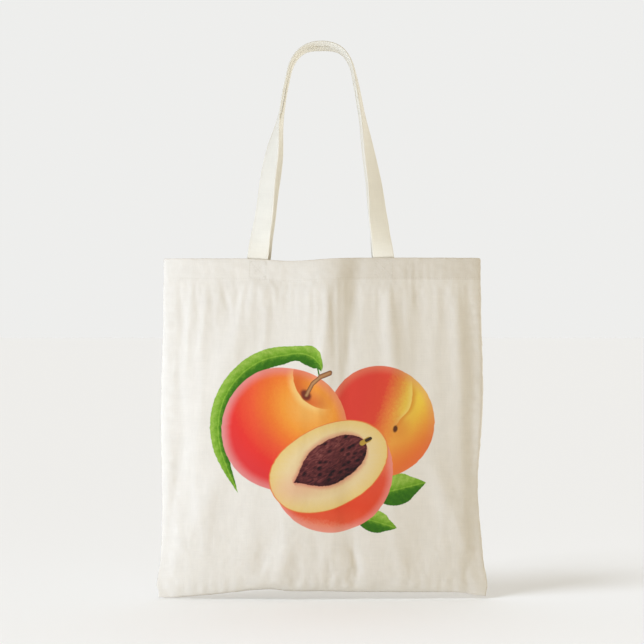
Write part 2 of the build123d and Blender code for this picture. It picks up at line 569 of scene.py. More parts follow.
class Strap:
    """Middle line of a handle with its directions: across the strap and out of it."""

    def __init__(self, face):
        side = SIDES[face]
        left, right, lean = LEGS[face]
        root_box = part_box(f"{face}_left_handle_end")
        root_y = 0.5 * (root_box[0].y + root_box[1].y)
        route = [(left, hem_top - STRAP_IN_HEM), (left, hem_top - 0.5 * STRAP_IN_HEM)]
        route += [(left * share, z) for share, z in LEG]
        top_z = HANDLE_TOP_Z[face]
        route += [(-0.0005, top_z)]
        route += [(right * share, z) for share, z in reversed(LEG)]
        route += [(right, hem_top - 0.5 * STRAP_IN_HEM), (right, hem_top - STRAP_IN_HEM)]
        line, self.at = smooth_curve(route, STRAP_STEP)
        x, z = line[:, 0], line[:, 1]
        top = int(np.argmax(z))
        on_left = np.arange(len(x)) < top
        half_way = bump(z, -0.115, 0.075)
        x = x + lean * half_way * np.where(on_left, 1.0, 0.15)
        rise = np.clip((z - hem_top) / (top_z - hem_top), 0.0, 1.0)
        y = root_y + (side * HANDLE_TOP_Y - root_y) * rise
        self.middle = np.stack([x, y, z], axis=1)
        turn = np.zeros(len(x))
        for on, knots in ((on_left, TWIST["left"]), (~on_left, TWIST["right"])):
            heights, degrees = zip(*knots)
            turn[on] = np.interp(z[on], heights, degrees)
        turn = soften(turn * smooth(z, hem_top - 0.004, hem_top + 0.030), 14)
        turn = np.radians(turn)[:, None]
        along = np.gradient(np.stack([x, z], axis=1), axis=0)
        along = along / np.linalg.norm(along, axis=1, keepdims=True)
        tangent = np.stack([along[:, 0], np.zeros(len(x)), along[:, 1]], axis=1)
        away = np.stack([-along[:, 1], np.zeros(len(x)), along[:, 0]], axis=1)
        facing = np.array([0.0, side, 0.0])
        self.out = away * np.sin(turn) + facing * np.cos(turn)
        self.across = np.cross(tangent, self.out)
        self.wander = 0.0006 * np.sin(self.at * 37.0 + side) + 0.0004 * np.sin(self.at * 83.0 - side)
        self.cup = 0.0007 * np.sin(self.at * 21.0 + 2.0 * side) * smooth(rise, 0.04, 0.2)
        self.free = smooth(rise, 0.02, 0.15)

    def point(self, i, u, v):
        """A point of step i, u across the strap and v out of its middle."""
        edge = (u / (0.5 * STRAP_W)) ** 2
        u = u + self.wander[i] * self.free[i]
        v = v + self.cup[i] * (edge - 0.4)
        return self.middle[i] + self.across[i] * u + self.out[i] * v


def half_thickness(u):
    """Half the strap's thickness at u: soft edges, and a dip along each row of stitches."""
    round_edge = 0.5 * STRAP_T
    over = np.clip((np.abs(u) - (0.5 * STRAP_W - round_edge)) / round_edge, 0.0, 1.0)
    dip = ROW_DIP * bump(np.abs(u), EDGE_ROW, 0.0010)
    crown = 1.0 + 0.10 * (1.0 - (u / (0.5 * STRAP_W)) ** 2)
    return 0.5 * STRAP_T * np.sqrt(1.0 - over ** 2) * crown * (1.0 - dip)


def make_strap(face, material):
    strap = Strap(face)
    inner_marks = np.array(PROFILE)
    marks = 0.5 * STRAP_W * np.concatenate([-inner_marks[:0:-1], inner_marks])
    profile = [(u, half_thickness(u)) for u in marks]
    profile += [(u, -half_thickness(u)) for u in marks[-2:0:-1]]
    vertices = []
    cut = []
    for i, at in enumerate(strap.at):
        puff = ROW_PUFF * math.cos(2.0 * math.pi * at / STITCH_PITCH)
        slack = 1.0 + 0.05 * math.sin(at * 57.0) + 0.04 * math.sin(at * 131.0)
        for u, v in profile:
            near_row = float(bump(abs(u), EDGE_ROW, 0.0016))
            swell = (1.0 + puff * near_row) * slack
            vertices.append(strap.point(i, u, v * swell))
            cut.append((u + 0.3, at, 0.0))
    size = len(profile)
    piece = new_piece(f"{face}_strap", vertices, tube_faces(0, len(strap.at), size), material)
    set_cut(piece, cut)
    outward = Vector(strap.out[len(strap.at) // 2])
    middle_face = piece.data.polygons[(len(strap.at) // 2) * size + size // 4]
    if middle_face.normal.dot(outward) < 0.0:
        piece.data.flip_normals()
    return piece, strap


# ---------------------------------------------------------------- stitches

THREAD_R = 0.00027
STRAP_THREAD_R = 0.00017
SEAM_THREAD_R = 0.00025
# Rings along a stitch: place, height in thread radii, and thickness
STITCH_RINGS = (
    (0.0, -0.9, 0.55), (0.16, 0.25, 0.95), (0.5, 0.75, 1.0), (0.84, 0.25, 0.95), (1.0, -0.9, 0.55))
STITCH_SIDES = 7
STITCH_SHARE = (0.10, 0.90)         # the part of each pitch that a surface stitch covers
HEM_STITCH_UP = 0.0018              # from the hem's lower edge to its stitches
BOX_HALF = 0.0098                   # half the sewn square on a handle end
BOX_DROP = 0.0030                   # from the mouth's edge to that square


def stitch_piece(name, stitches, material, radius=THREAD_R):
    """One piece of many stitches: each an arched length of thread that dips into the cloth."""
    vertices = []
    faces = []
    for start, end, up in stitches:
        axis = end - start
        side = np.cross(axis, up)
        side = side / max(np.linalg.norm(side), 1e-9)
        base = len(vertices)
        for at, lift, thick in STITCH_RINGS:
            centre = start + axis * at + up * (lift * radius)
            for k in range(STITCH_SIDES):
                angle = 2.0 * math.pi * k / STITCH_SIDES
                spoke = side * math.cos(angle) + up * (0.8 * math.sin(angle))
                vertices.append(centre + spoke * radius * thick)
        faces += [face[::-1] for face in tube_faces(base, len(STITCH_RINGS), STITCH_SIDES)]
    return new_piece(name, vertices, faces, material)


def strap_stitches(strap):
    """Both rows of stitches on both sides of a strap."""
    every = STITCH_PITCH / STRAP_STEP
    count = int((len(strap.at) - 1) / every)
    lift = float(half_thickness(np.array(EDGE_ROW)))
    stitches = []
    for n in range(count):
        first = int(round(n * every))
        last = int(round((n + 0.80) * every))
        for row in (-EDGE_ROW, EDGE_ROW):
            for face in (1.0, -1.0):
                start = strap.point(first, row, face * lift)
                end = strap.point(last, row, face * lift)
                stitches.append((start, end, strap.out[first] * face))
    return stitches


def surface_stitches(tree, side, corners):
    """Stitches along straight runs in the front view, laid on the cloth's outer surface."""
    stitches = []
    for (x0, z0), (x1, z1) in zip(corners, corners[1:]):
        length = math.hypot(x1 - x0, z1 - z0)
        count = max(int(round(length / STITCH_PITCH)), 1)
        for n in range(count):
            ends = []
            for part in STITCH_SHARE:
                share = (n + part) / count
                x, z = x0 + (x1 - x0) * share, z0 + (z1 - z0) * share
                hit, normal, _, _ = tree.ray_cast(Vector((x, side * OUTSIDE, z)), Vector((0, -side, 0)))
                if hit is not None:
                    ends.append((np.array(hit), np.array(normal)))
            if len(ends) == 2:
                stitches.append((ends[0][0], ends[1][0], ends[0][1]))
    return stitches


def hem_row(face):
    """The row of stitches that holds the hem, following the mouth's edge."""
    edge = mouth_half - 0.004
    xs = np.linspace(-edge, edge, 45)
    wobble = 0.00025 * np.sin(xs * 90.0 + SIDES[face])
    return list(zip(xs, mouth_line(xs) - HEM_DEPTH + HEM_STITCH_UP + wobble))


def box_row(x):
    """A sewn square with its diagonals, over one end of a handle."""
    left, right = x - BOX_HALF, x + BOX_HALF
    top = float(mouth_line(x)) - BOX_DROP
    low = top - 2.0 * BOX_HALF
    square = [(left, top), (right, top), (right, low), (left, low), (left, top)]
    return [square, [(left, top), (right, low)], [(right, top), (left, low)]]


# ---------------------------------------------------------------- seams inside the bag

SEAM_W = 0.010
SEAM_INSET = 0.0045         # from the bag's side to the side seam
BOTTOM_SEAM_HALF = 0.168
BOTTOM_SEAM_UP = 0.006      # from the bottom edge to the bottom seam
LAYER_LIFT = 0.0003         # from the middle of the tape to each of its layers
BINDING_W = 0.0052          # width that the overlock thread covers
BINDING_LIFT = 0.0006


def seam_tape(name, edge, inward, material):
    """Two layers of seam allowance, bound by thread, along an edge of the bag."""
    across = np.linspace(0.0, SEAM_W, 6)
    vertices = []
    for layer in (-1.0, 1.0):
        for i, point in enumerate(edge):
            wave = 0.0006 * math.sin(i * 0.9) + 0.0004 * math.sin(i * 2.3)
            for k, step in enumerate(across):
                apart = layer * LAYER_LIFT + wave * (k / (len(across) - 1))
                vertices.append(np.array(point) + inward[i] * step + np.array([0.0, apart, 0.0]))
    rows, columns = len(edge) - 1, len(across) - 1
    half = len(vertices) // 2
    front = grid_faces(rows, columns)
    faces = front + [tuple(v + half for v in quad)[::-1] for quad in front]
    ring = list(range(columns + 1))
    ring += [(i + 1) * (columns + 1) + columns for i in range(rows)]
    ring += [rows * (columns + 1) + k for k in range(columns - 1, -1, -1)]
    ring += [i * (columns + 1) for i in range(rows - 1, 0, -1)]
    for a, b in zip(ring, ring[1:] + ring[:1]):
        faces.append((b, a, a + half, b + half))
    piece = new_piece(name, vertices, faces, material)
    clean = bmesh.new()
    clean.from_mesh(piece.data)
    bmesh.ops.recalc_face_normals(clean, faces=clean.faces)
    clean.to_mesh(piece.data)
    clean.free()
    return piece


def seam_stitches(edge, inward):
    """Overlocked edge: loops over the edge of the seam, and a line of stitches beside them."""
    stitches = []
    for i in range(len(edge) - 1):
        here, there = np.array(edge[i]), np.array(edge[i + 1])
        middle = 0.5 * (here + there)
        for layer in (-1.0, 1.0):
            up = np.array([0.0, layer, 0.0])
            lift = up * BINDING_LIFT
            outer_edge = inward[i] * (SEAM_W + 0.0004)
            line = inward[i] * (SEAM_W - BINDING_W)
            stitches.append((here + line + lift, there + line * 0.97 + lift, up))
            stitches.append((here + line + lift, middle + outer_edge + lift, up))
            stitches.append((there + line + lift, middle + outer_edge + lift, up))
    return stitches


def side_edge(sign):
    """Edge of the bag at one side, in the middle plane, and the way inwards."""
    heights = np.arange(hem_top - HEM_DEPTH - 0.002, corner_z + 0.040, -STITCH_PITCH)
    edges = [sign * float(width_of(z)) for z in heights]
    points = [(x - sign * SEAM_INSET - float(waist(x, z)), 0.0, z) for x, z in zip(edges, heights)]
    return points, [np.array([-sign, 0.0, 0.0])] * len(points)


def bottom_seam_edge():
    """Edge of the bag along its bottom, in the middle plane, and the way inwards."""
    xs = np.arange(-BOTTOM_SEAM_HALF, BOTTOM_SEAM_HALF, STITCH_PITCH)
    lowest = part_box("bottom_seam")[0].z - 0.004
    points = [(x, 0.0, max(float(bottom_line(x)) + BOTTOM_SEAM_UP, lowest)) for x in xs]
    return points, [np.array([0.0, 0.0, 1.0])] * len(points)


# ---------------------------------------------------------------- camera, lights and floor

FRAME_WIDTH = 0.771512      # metres of the bag's middle plane that the camera takes in
CAMERA_HEIGHT = -0.324658
LENS_MM = 85.0
SENSOR_MM = 36.0


def make_camera():
    data = bpy.data.cameras.new("camera")
    data.lens = LENS_MM
    data.sensor_width = SENSOR_MM
    camera = add_object("camera", data)
    camera.location = (0.0, -FRAME_WIDTH * LENS_MM / SENSOR_MM, CAMERA_HEIGHT)
    camera.rotation_euler = (math.radians(90.0), 0.0, 0.0)
    bpy.context.scene.camera = camera


HORIZON = (0.855, 0.855, 0.842)
# Upper half of the studio: in front of the bag and behind it
FRONT_SKY = (0.575, 0.498, 0.348)
BACK_SKY = (0.95, 0.95, 0.95)
FLOOR_ALBEDO = (0.84, 0.84, 0.84)
FLOOR_HALF = 30.0
FLOOR_GAP = 0.0008          # from the lowest corner down to the floor
# Soft boxes: what each lights, its place, size, watts and colour
SOFT_BOXES = {
    "key": ("bag", (-0.78, -0.56, -0.52), (0.45, 0.80), 12.1, (0.625, 0.745, 1.0)),
    "fill": ("bag", (0.90, -0.70, -0.30), (0.60, 0.90), 1.3, (1.0, 0.87, 0.66)),
    "rear": ("bag", (0.85, 0.75, -0.20), (0.60, 0.90), 5.0, (1.0, 0.96, 0.90)),
    "handle_box": ("handles", (0.22, -0.38, -0.60), (0.40, 0.30), 1.6, (0.92, 0.96, 1.0)),
    "floor_box": ("floor", (0.0, -0.80, -0.15), (0.80, 0.30), 0.8, (0.78, 0.90, 1.0)),
}
# Sun over the floor: its direction, strength, colour and spread in degrees
TOP_LAMP = ((0.66, 0.36, -1.0), 1.31, (0.79, 0.87, 1.0), 20.0)


def add_lamp(name, kind, strength, colour, lit):
    """A lamp that lights only the objects given."""
    data = bpy.data.lights.new(name, kind)
    data.energy = strength
    data.color = colour
    lamp = add_object(name, data)
    lamp.rotation_mode = "QUATERNION"
    lamp.visible_camera = False
    receivers = bpy.data.collections.new(f"lit_by_{name}")
    for piece in lit:
        receivers.objects.link(piece)
    lamp.light_linking.receiver_collection = receivers
    return lamp


def make_lamps(pieces, floor):
    middle = Vector((0.0, 0.0, 0.5 * (hem_top + corner_z)))
    straps = [piece for piece in pieces if "_strap" in piece.name]
    lit = {"bag": pieces, "handles": straps, "floor": [floor]}
    for name, (what, place, size, strength, colour) in SOFT_BOXES.items():
        lamp = add_lamp(name, "AREA", strength, colour, lit[what])
        lamp.data.shape = "RECTANGLE"
        lamp.data.size, lamp.data.size_y = size
        lamp.location = place
        lamp.rotation_quaternion = (middle - lamp.location).to_track_quat("-Z", "Y")
    direction, strength, colour, spread = TOP_LAMP
    top = add_lamp("top", "SUN", strength, colour, [floor])
    top.data.angle = math.radians(spread)
    top.rotation_quaternion = Vector(direction).to_track_quat("-Z", "Y")


def make_sky():
    world = bpy.data.worlds.new("studio")
    bpy.context.scene.world = world
    world.use_nodes = True
    tree = world.node_tree
    sky = tree.nodes["Background"]
    towards = tree.nodes.new("ShaderNodeTexCoord")
    split = tree.nodes.new("ShaderNodeSeparateXYZ")
    tree.links.new(towards.outputs["Generated"], split.inputs[0])
    behind = add_range(tree, split.outputs["Y"], -0.35, 0.45)
    above = add_range(tree, split.outputs["Z"], 0.215, 0.36)
    dome = add_mix(tree, behind, (*FRONT_SKY, 1.0), (*BACK_SKY, 1.0))
    colour = add_mix(tree, above, (*HORIZON, 1.0), dome)
    tree.links.new(colour, sky.inputs["Color"])


def make_studio(pieces):
    scene = bpy.context.scene
    scene.view_settings.view_transform = "Standard"
    scene.view_settings.look = "None"
    make_sky()
    low = corner_z - FLOOR_GAP
    ring = [(x * FLOOR_HALF, y * FLOOR_HALF, low) for x, y in ((-1, -1), (1, -1), (1, 1), (-1, 1))]
    matt, _, _ = new_material("floor", {
        "Base Color": (*FLOOR_ALBEDO, 1.0), "Roughness": 1.0, "Specular IOR Level": 0.0})
    floor = new_piece("floor", ring, [(0, 1, 2, 3)], matt, smooth_shaded=False)
    make_lamps(pieces, floor)


# ---------------------------------------------------------------- shader arithmetic


def add_range(tree, value, low, high, to_low=0.0, to_high=1.0):
    """Smooth step of a socket's value."""
    node = tree.nodes.new("ShaderNodeMapRange")
    node.interpolation_type = "SMOOTHSTEP"
    tree.links.new(value, node.inputs["Value"])
    node.inputs["From Min"].default_value = low
    node.inputs["From Max"].default_value = high
    node.inputs["To Min"].default_value = to_low
    node.inputs["To Max"].default_value = to_high
    return node.outputs["Result"]


def add_mix(tree, share, under, over, blend="MIX"):
    """Mix of two colours, each a socket or a fixed colour."""
    node = tree.nodes.new("ShaderNodeMix")
    node.data_type = "RGBA"
    node.blend_type = blend
    slots = [slot for slot in node.inputs if slot.enabled]
    for slot, value in zip(slots, (share, under, over)):
        if isinstance(value, bpy.types.NodeSocket):
            tree.links.new(value, slot)
        else:
            slot.default_value = value
    return next(slot for slot in node.outputs if slot.enabled)


class Ink:
    """A value that varies over the cloth, used like a number."""

    def __init__(self, tree, socket):
        self.tree = tree
        self.socket = socket

    def math(self, operation, *values):
        node = self.tree.nodes.new("ShaderNodeMath")
        node.operation = operation
        for slot, value in zip(node.inputs, (self, *values)):
            if isinstance(value, Ink):
                self.tree.links.new(value.socket, slot)
            else:
                slot.default_value = float(value)
        return Ink(self.tree, node.outputs[0])

    def __add__(self, other):
        return self.math("ADD", other)

    def __sub__(self, other):
        return self.math("SUBTRACT", other)

    def __mul__(self, other):
        return self.math("MULTIPLY", other)

    def __truediv__(self, other):
        return self.math("DIVIDE", other)

    def fade(self, low, high):
        """0 below low, 1 above high, smooth between; the other way round if low > high."""
        if low < high:
            return Ink(self.tree, add_range(self.tree, self.socket, low, high))
        return Ink(self.tree, add_range(self.tree, self.socket, high, low, 1.0, 0.0))

    def curve(self, points):
        """A drawn curve of this value, which runs from 0 to 1."""
        node = self.tree.nodes.new("ShaderNodeFloatCurve")
        line = node.mapping.curves[0]
        for at, height in points[1:-1]:
            line.points.new(at, height)
        line.points[0].location = points[0]
        line.points[len(points) - 1].location = points[-1]
        node.mapping.update()
        self.tree.links.new(self.socket, node.inputs["Value"])
        return Ink(self.tree, node.outputs[0])

    def ramp(self, stops):
        """Colours along this value; each stop is a place and an ink."""
        node = self.tree.nodes.new("ShaderNodeValToRGB")
        elements = node.color_ramp.elements
        elements[0].position, elements[1].position = stops[0][0], stops[-1][0]
        elements[0].color, elements[1].color = linear(stops[0][1]), linear(stops[-1][1])
        for at, colour in stops[1:-1]:
            elements.new(at).color = linear(colour)
        self.tree.links.new(self.socket, node.inputs[0])
        return node.outputs["Color"]

    def lay(self, over, under):
        """An ink, or the socket of a drawn colour, laid over another colour by this share."""
        over = linear(over) if isinstance(over, tuple) else over
        return add_mix(self.tree, self.socket, under, over)


def hypot(a, b):
    return (a * a + b * b).math("SQRT")


def pair(a, b):
    """A vector socket of two values."""
    node = a.tree.nodes.new("ShaderNodeCombineXYZ")
    a.tree.links.new(a.socket, node.inputs[0])
    a.tree.links.new(b.socket, node.inputs[1])
    return node.outputs[0]


INK_STRENGTH = 0.80          # the lamps lift the print's colours by about a fifth


def linear(ink):
    """An ink as seen, sRGB of 0 to 255, as the cloth's linear colour with alpha."""
    parts = [value / 255.0 for value in ink]
    light = [c / 12.92 if c <= 0.04045 else ((c + 0.055) / 1.055) ** 2.4 for c in parts]
    return (*(INK_STRENGTH * c for c in light), 1.0)


def texture_value(tree, kind, vector, output, **settings):
    """One output of a texture at a vector socket."""
    node = tree.nodes.new(kind)
    tree.links.new(vector, node.inputs["Vector"])
    for name, value in settings.items():
        node.inputs[name].default_value = value
    return Ink(tree, node.outputs[output])


def stretched(tree, vector, scale):
    node = tree.nodes.new("ShaderNodeMapping")
    node.inputs["Scale"].default_value = scale
    tree.links.new(vector, node.inputs["Vector"])
    return node.outputs["Vector"]


def noise_value(tree, vector, scale, detail, **settings):
    """Noise at a vector socket, with one scale or with one for each direction."""
    if isinstance(scale, tuple):
        vector = stretched(tree, vector, scale)
        scale = 1.0
    return texture_value(tree, "ShaderNodeTexNoise", vector, "Fac", Scale=scale, Detail=detail, **settings)


# ---------------------------------------------------------------- cloth and thread

CANVAS = (0.685, 0.635, 0.540)
STRAP_CANVAS = (0.660, 0.622, 0.522)
HEM_PAINTED_SHADE = (0.50, 0.43, 0.32)       # painted shade: darkens the hem right of its middle, for looks only
HEM_PAINTED_SHADE_SHARE = 0.24
FLECK = (0.42, 0.30, 0.16)
THREAD = (0.72, 0.67, 0.57)
YARN_PITCH = 0.00068
PLAIN_RELIEF = 0.5
STRAP_RELIEF = 0.05
RELIEF_DEPTH = 0.0011


def new_material(name, sockets):
    """A material and its nodes, with fixed values on the shader's own sockets."""
    material = bpy.data.materials.new(name)
    material.use_nodes = True
    shader = material.node_tree.nodes["Principled BSDF"]
    for socket, value in sockets.items():
        shader.inputs[socket].default_value = value
    return material, material.node_tree, shader


def shaded(tree, base, tone):
    """A colour made darker or lighter by a tone."""
    shade = tree.nodes.new("ShaderNodeCombineColor")
    for slot in shade.inputs:
        tree.links.new(tone.socket, slot)
    return add_mix(tree, 1.0, (*base, 1.0), shade.outputs[0], blend="MULTIPLY")


def raise_relief(tree, shader, height, strength, depth):
    raised = tree.nodes.new("ShaderNodeBump")
    raised.inputs["Strength"].default_value = strength
    raised.inputs["Distance"].default_value = depth
    tree.links.new(height.socket, raised.inputs["Height"])
    tree.links.new(raised.outputs["Normal"], shader.inputs["Normal"])


def cloth_material(name, base, relief, paint=None):
    """Plain-weave cotton canvas: slubs, seed flecks and a raised weave; with a print, if given, and then
    also painted shade on the hem right of its middle.
    """
    material, tree, shader = new_material(name, {
        "Roughness": 0.93, "Specular IOR Level": 0.18, "Sheen Weight": 0.12, "Sheen Roughness": 0.6})
    layout = tree.nodes.new("ShaderNodeAttribute")
    layout.attribute_name = "cut"
    place = layout.outputs["Vector"]
    split = tree.nodes.new("ShaderNodeSeparateXYZ")
    tree.links.new(place, split.inputs[0])
    across, up = Ink(tree, split.outputs["X"]), Ink(tree, split.outputs["Y"])

    warp_slub = noise_value(tree, place, (1500, 45, 1), 2.0)
    weft_slub = noise_value(tree, place, (38, 1400, 1), 2.0)
    mottle = noise_value(tree, place, 55.0, 4.0)
    tone = (warp_slub + weft_slub + mottle).math("MULTIPLY_ADD", 0.10, 0.85)
    specks = texture_value(tree, "ShaderNodeTexVoronoi", place, "Distance", Scale=62.0)
    speck_size = noise_value(tree, place, 16.0, 1.0)
    fleck = (specks - speck_size.fade(0.56, 0.80) * 0.040).fade(0.004, 0.0)

    colour = shaded(tree, base, tone)
    colour = add_mix(tree, (fleck * 0.55).socket, colour, (*FLECK, 1.0))
    if paint is not None:
        # painted shade: the hem right of its middle is darkened, as if less lit
        right_hem_painted_shade = (up - (hem_top - HEM_DEPTH)).fade(-0.0005, 0.0005) * across.fade(0.010, 0.040)
        colour = add_mix(tree, (right_hem_painted_shade * HEM_PAINTED_SHADE_SHARE).socket, colour, (*HEM_PAINTED_SHADE, 1.0))
        colour = paint(tree, across, up, colour)
    tree.links.new(colour, shader.inputs["Base Color"])

    over_warp = (across * (math.pi / YARN_PITCH) + warp_slub * 1.5).math("SINE")
    over_weft = (up * (math.pi / YARN_PITCH) + weft_slub * 1.5).math("SINE")
    ribs = over_warp.math("ABSOLUTE") * 0.25 + over_weft.math("ABSOLUTE") * 0.25
    weave = over_warp * over_weft * 0.5 + ribs
    rumple = noise_value(tree, place, (75, 42, 1), 3.0)
    height = weave * 0.07 + warp_slub * 0.08 + weft_slub * 0.08 + rumple * 0.5
    raise_relief(tree, shader, height, relief, RELIEF_DEPTH)
    return material


def thread_material(name, base):
    """Twisted cotton thread: fine slanted plies and a little sheen."""
    material, tree, shader = new_material(name, {"Roughness": 0.75, "Sheen Weight": 0.2})
    place = tree.nodes.new("ShaderNodeTexCoord").outputs["Object"]
    plies = noise_value(tree, place, (2600, 2600, 1500), 2.0)
    colour = shaded(tree, base, plies.math("MULTIPLY_ADD", 0.22, 0.88))
    tree.links.new(colour, shader.inputs["Base Color"])
    raise_relief(tree, shader, plies, 0.4, 0.00012)
    return material


# ---------------------------------------------------------------- the fruit print

# The print is drawn in millimetres from this height of the flat cloth, at its middle
PRINT_MIDDLE = -0.4587
PRINT_STRETCH = 0.985        # the belly's curve shortens the print's height a little in the front view


def local(x, z, centre, turn=0.0):
    """Coordinates about a centre, along and across a line turned by some degrees."""
    c, s = math.cos(math.radians(turn)), math.sin(math.radians(turn))
    dx, dz = x - centre[0], z - centre[1]
    return dx * c + dz * s, dz * c - dx * s


def disc(x, z, centre, radii, turn=0.0, soft=0.02):
    """Mask of an ellipse, and how far out each point lies: 1 on its edge."""
    u, v = local(x, z, centre, turn)
    out = hypot(u / radii[0], v / radii[1])
    return out.fade(1.0 + soft, 1.0 - soft), out


def from_start(x, z, start, end):
    """Coordinates along and across the line from start to end, and its length."""
    dx, dz = end[0] - start[0], end[1] - start[1]
    return *local(x, z, start, math.degrees(math.atan2(dz, dx))), math.hypot(dx, dz)


def stroke(x, z, start, end, width):
    """How near a point is to a straight stroke: 1 on it, 0 beyond its width."""
    u, v, length = from_start(x, z, start, end)
    beyond = u - u.math("MAXIMUM", 0.0).math("MINIMUM", length)
    return hypot(beyond, v).fade(width, 0.0)


def print_leaf(colour, u, v, half_width, length, grain):
    """A leaf along u from 0 to 1, with a midrib, side veins and a toothed edge."""
    teeth = (u * (length * 1.6)).math("SINE") * 0.12
    out = v.math("ABSOLUTE")
    mask = (out - half_width - teeth).fade(0.3, -0.3) * u.fade(0.0, 0.01) * u.fade(1.0, 0.99)
    veins = (u * (length * 0.62) - out * 0.55).math("SINE")
    rib = out.fade(1.3, 0.2)
    tone = grain * 0.45 + veins.fade(-0.6, 1.0) * 0.06 + v.fade(-9.0, 9.0) * 0.50 + rib * 0.16
    green = tone.ramp((
        (0.0, (26, 80, 4)), (0.35, (60, 118, 8)), (0.62, (122, 168, 40)), (1.0, (190, 214, 100))))
    return mask.lay(green, colour)


def print_long_leaf(x, z, colour, grain):
    """The long leaf that curls round the left peach."""
    dx, dz = x + 45.3, z - 5.5
    angle = dz.math("ARCTAN2", dx) / math.pi
    turned = angle + angle.math("LESS_THAN", 0.0) * 2.0
    along = (turned - 0.315) / 0.985
    middle = along.curve(((0.0, 0.80), (0.035, 0.886), (0.11, 0.925), (0.20, 0.875), (0.30, 0.842),
                          (0.50, 0.812), (0.78, 0.796), (0.90, 0.832), (1.0, 0.945)))
    wide = along.curve(((0.0, 0.0), (0.03, 0.32), (0.085, 0.58), (0.13, 0.45), (0.21, 0.55),
                        (0.50, 0.54), (0.70, 0.49), (0.90, 0.24), (1.0, 0.0)))
    return print_leaf(colour, along, hypot(dx, dz) - middle * 100.0, wide * 20.0, 190.0, grain)


def print_small_leaf(x, z, colour, grain, base, tip, half_width):
    u, v, length = from_start(x, z, base, tip)
    along = u / length
    wide = along.curve(((0.0, 0.35), (0.25, 0.95), (0.45, 1.0), (0.75, 0.55), (1.0, 0.0)))
    return print_leaf(colour, along, v, wide * half_width, length * 1.1, grain)


def print_left_peach(x, z, colour, grain):
    mask, out = disc(x, z, (-45.5, 4.7), (75.0, 74.0), soft=0.006)
    _, glow = disc(x, z, (-16.0, 30.0), (88.0, 72.0), -35.0)
    skin = (glow * 0.74 + grain * 0.16 - 0.08).ramp((
        (0.08, (246, 176, 84)), (0.28, (247, 156, 54)), (0.44, (244, 124, 44)),
        (0.62, (240, 90, 48)), (0.83, (236, 54, 44)), (1.0, (228, 56, 54))))
    bloom = out.fade(0.82, 1.01) * (x * -0.004 + 0.42)
    skin = bloom.lay((232, 154, 146), skin)
    near_stalk, _ = disc(x, z, (-20.0, 51.0), (27.0, 21.0), -45.0, soft=0.5)
    inside = hypot(x - 6.9, z - 71.8) * -1.0 + 42.6
    shoulder = inside.fade(-11.0, -0.4) * inside.fade(0.5, -0.2)
    skin = (shoulder * near_stalk * 0.60).lay((252, 220, 138), skin)
    hollow = inside.fade(-0.4, 0.9) * inside.fade(24.0, 1.0)
    skin = (hollow * near_stalk * 0.88).lay((218, 96, 38), skin)
    root, _ = disc(x, z, (-20.2, 46.6), (7.4, 5.2), -50.0, soft=0.35)
    skin = (root * 0.92).lay((104, 38, 30), skin)
    return mask.lay(skin, colour)


def print_stalk(x, z, colour):
    green = stroke(x, z, (-7.0, 80.0), (-3.4, 69.0), 1.5)
    colour = green.fade(0.2, 0.45).lay((70, 118, 34), colour)
    shape = stroke(x, z, (-19.5, 46.5), (-12.5, 59.5), 3.6)
    for start, end, width in (((-12.5, 59.5), (-2.5, 67.6), 3.7), ((-2.5, 67.6), (9.0, 71.6), 4.4)):
        shape = shape.math("MAXIMUM", stroke(x, z, start, end, width))
    wood = shape.ramp(((0.0, (92, 52, 30)), (0.5, (142, 92, 54)), (1.0, (190, 140, 92))))
    return shape.fade(0.18, 0.32).lay(wood, colour)


def print_right_peach(x, z, colour, grain):
    mask, out = disc(x, z, (69.2, 13.9), (64.7, 65.0), soft=0.007)
    side = x * 0.0085 - z * 0.0030 - 0.36 + grain * 0.16
    skin = side.ramp((
        (0.0, (227, 68, 52)), (0.20, (228, 74, 50)), (0.34, (238, 142, 62)),
        (0.46, (243, 202, 80)), (0.62, (246, 206, 70)), (0.85, (240, 164, 62))))
    low = (x * 0.45 - z).fade(8.0, 84.0)
    skin = (low * 0.90).lay((236, 102, 48), skin)
    bend = z.math("MULTIPLY_ADD", 0.0117, 0.34).curve((
        (0.0, 0.30), (0.30, 0.34), (0.45, 0.42), (0.72, 0.86), (1.0, 0.92)))
    off = x - (bend * 40.0 + 71.0)
    reach = z.fade(2.0, 12.0) * z.fade(68.0, 44.0)
    skin = (off.fade(-7.0, -0.6) * off.fade(0.5, 0.0) * reach * 0.45).lay((250, 224, 130), skin)
    skin = (off.fade(-0.3, 0.5) * off.fade(8.0, 0.5) * reach * 0.62).lay((224, 130, 40), skin)
    halo, _ = disc(x, z, (88.5, 6.0), (13.0, 11.0), 35.0, soft=0.8)
    skin = (halo * 0.6).lay((232, 134, 52), skin)
    navel, _ = disc(x, z, (86.6, 5.2), (2.6, 4.2), -20.0, soft=0.35)
    skin = navel.lay((96, 52, 24), skin)
    bloom = out.fade(0.82, 1.01) * (low * -0.36 + 0.46)
    skin = bloom.lay((232, 152, 112), skin)
    return mask.lay(skin, colour)


# The cut face of the half peach: its middle, its radii and its tilt in degrees
CUT_MIDDLE = (7.1, -38.6)
CUT_RADII = (75.2, 48.8)
CUT_TILT = 25.0


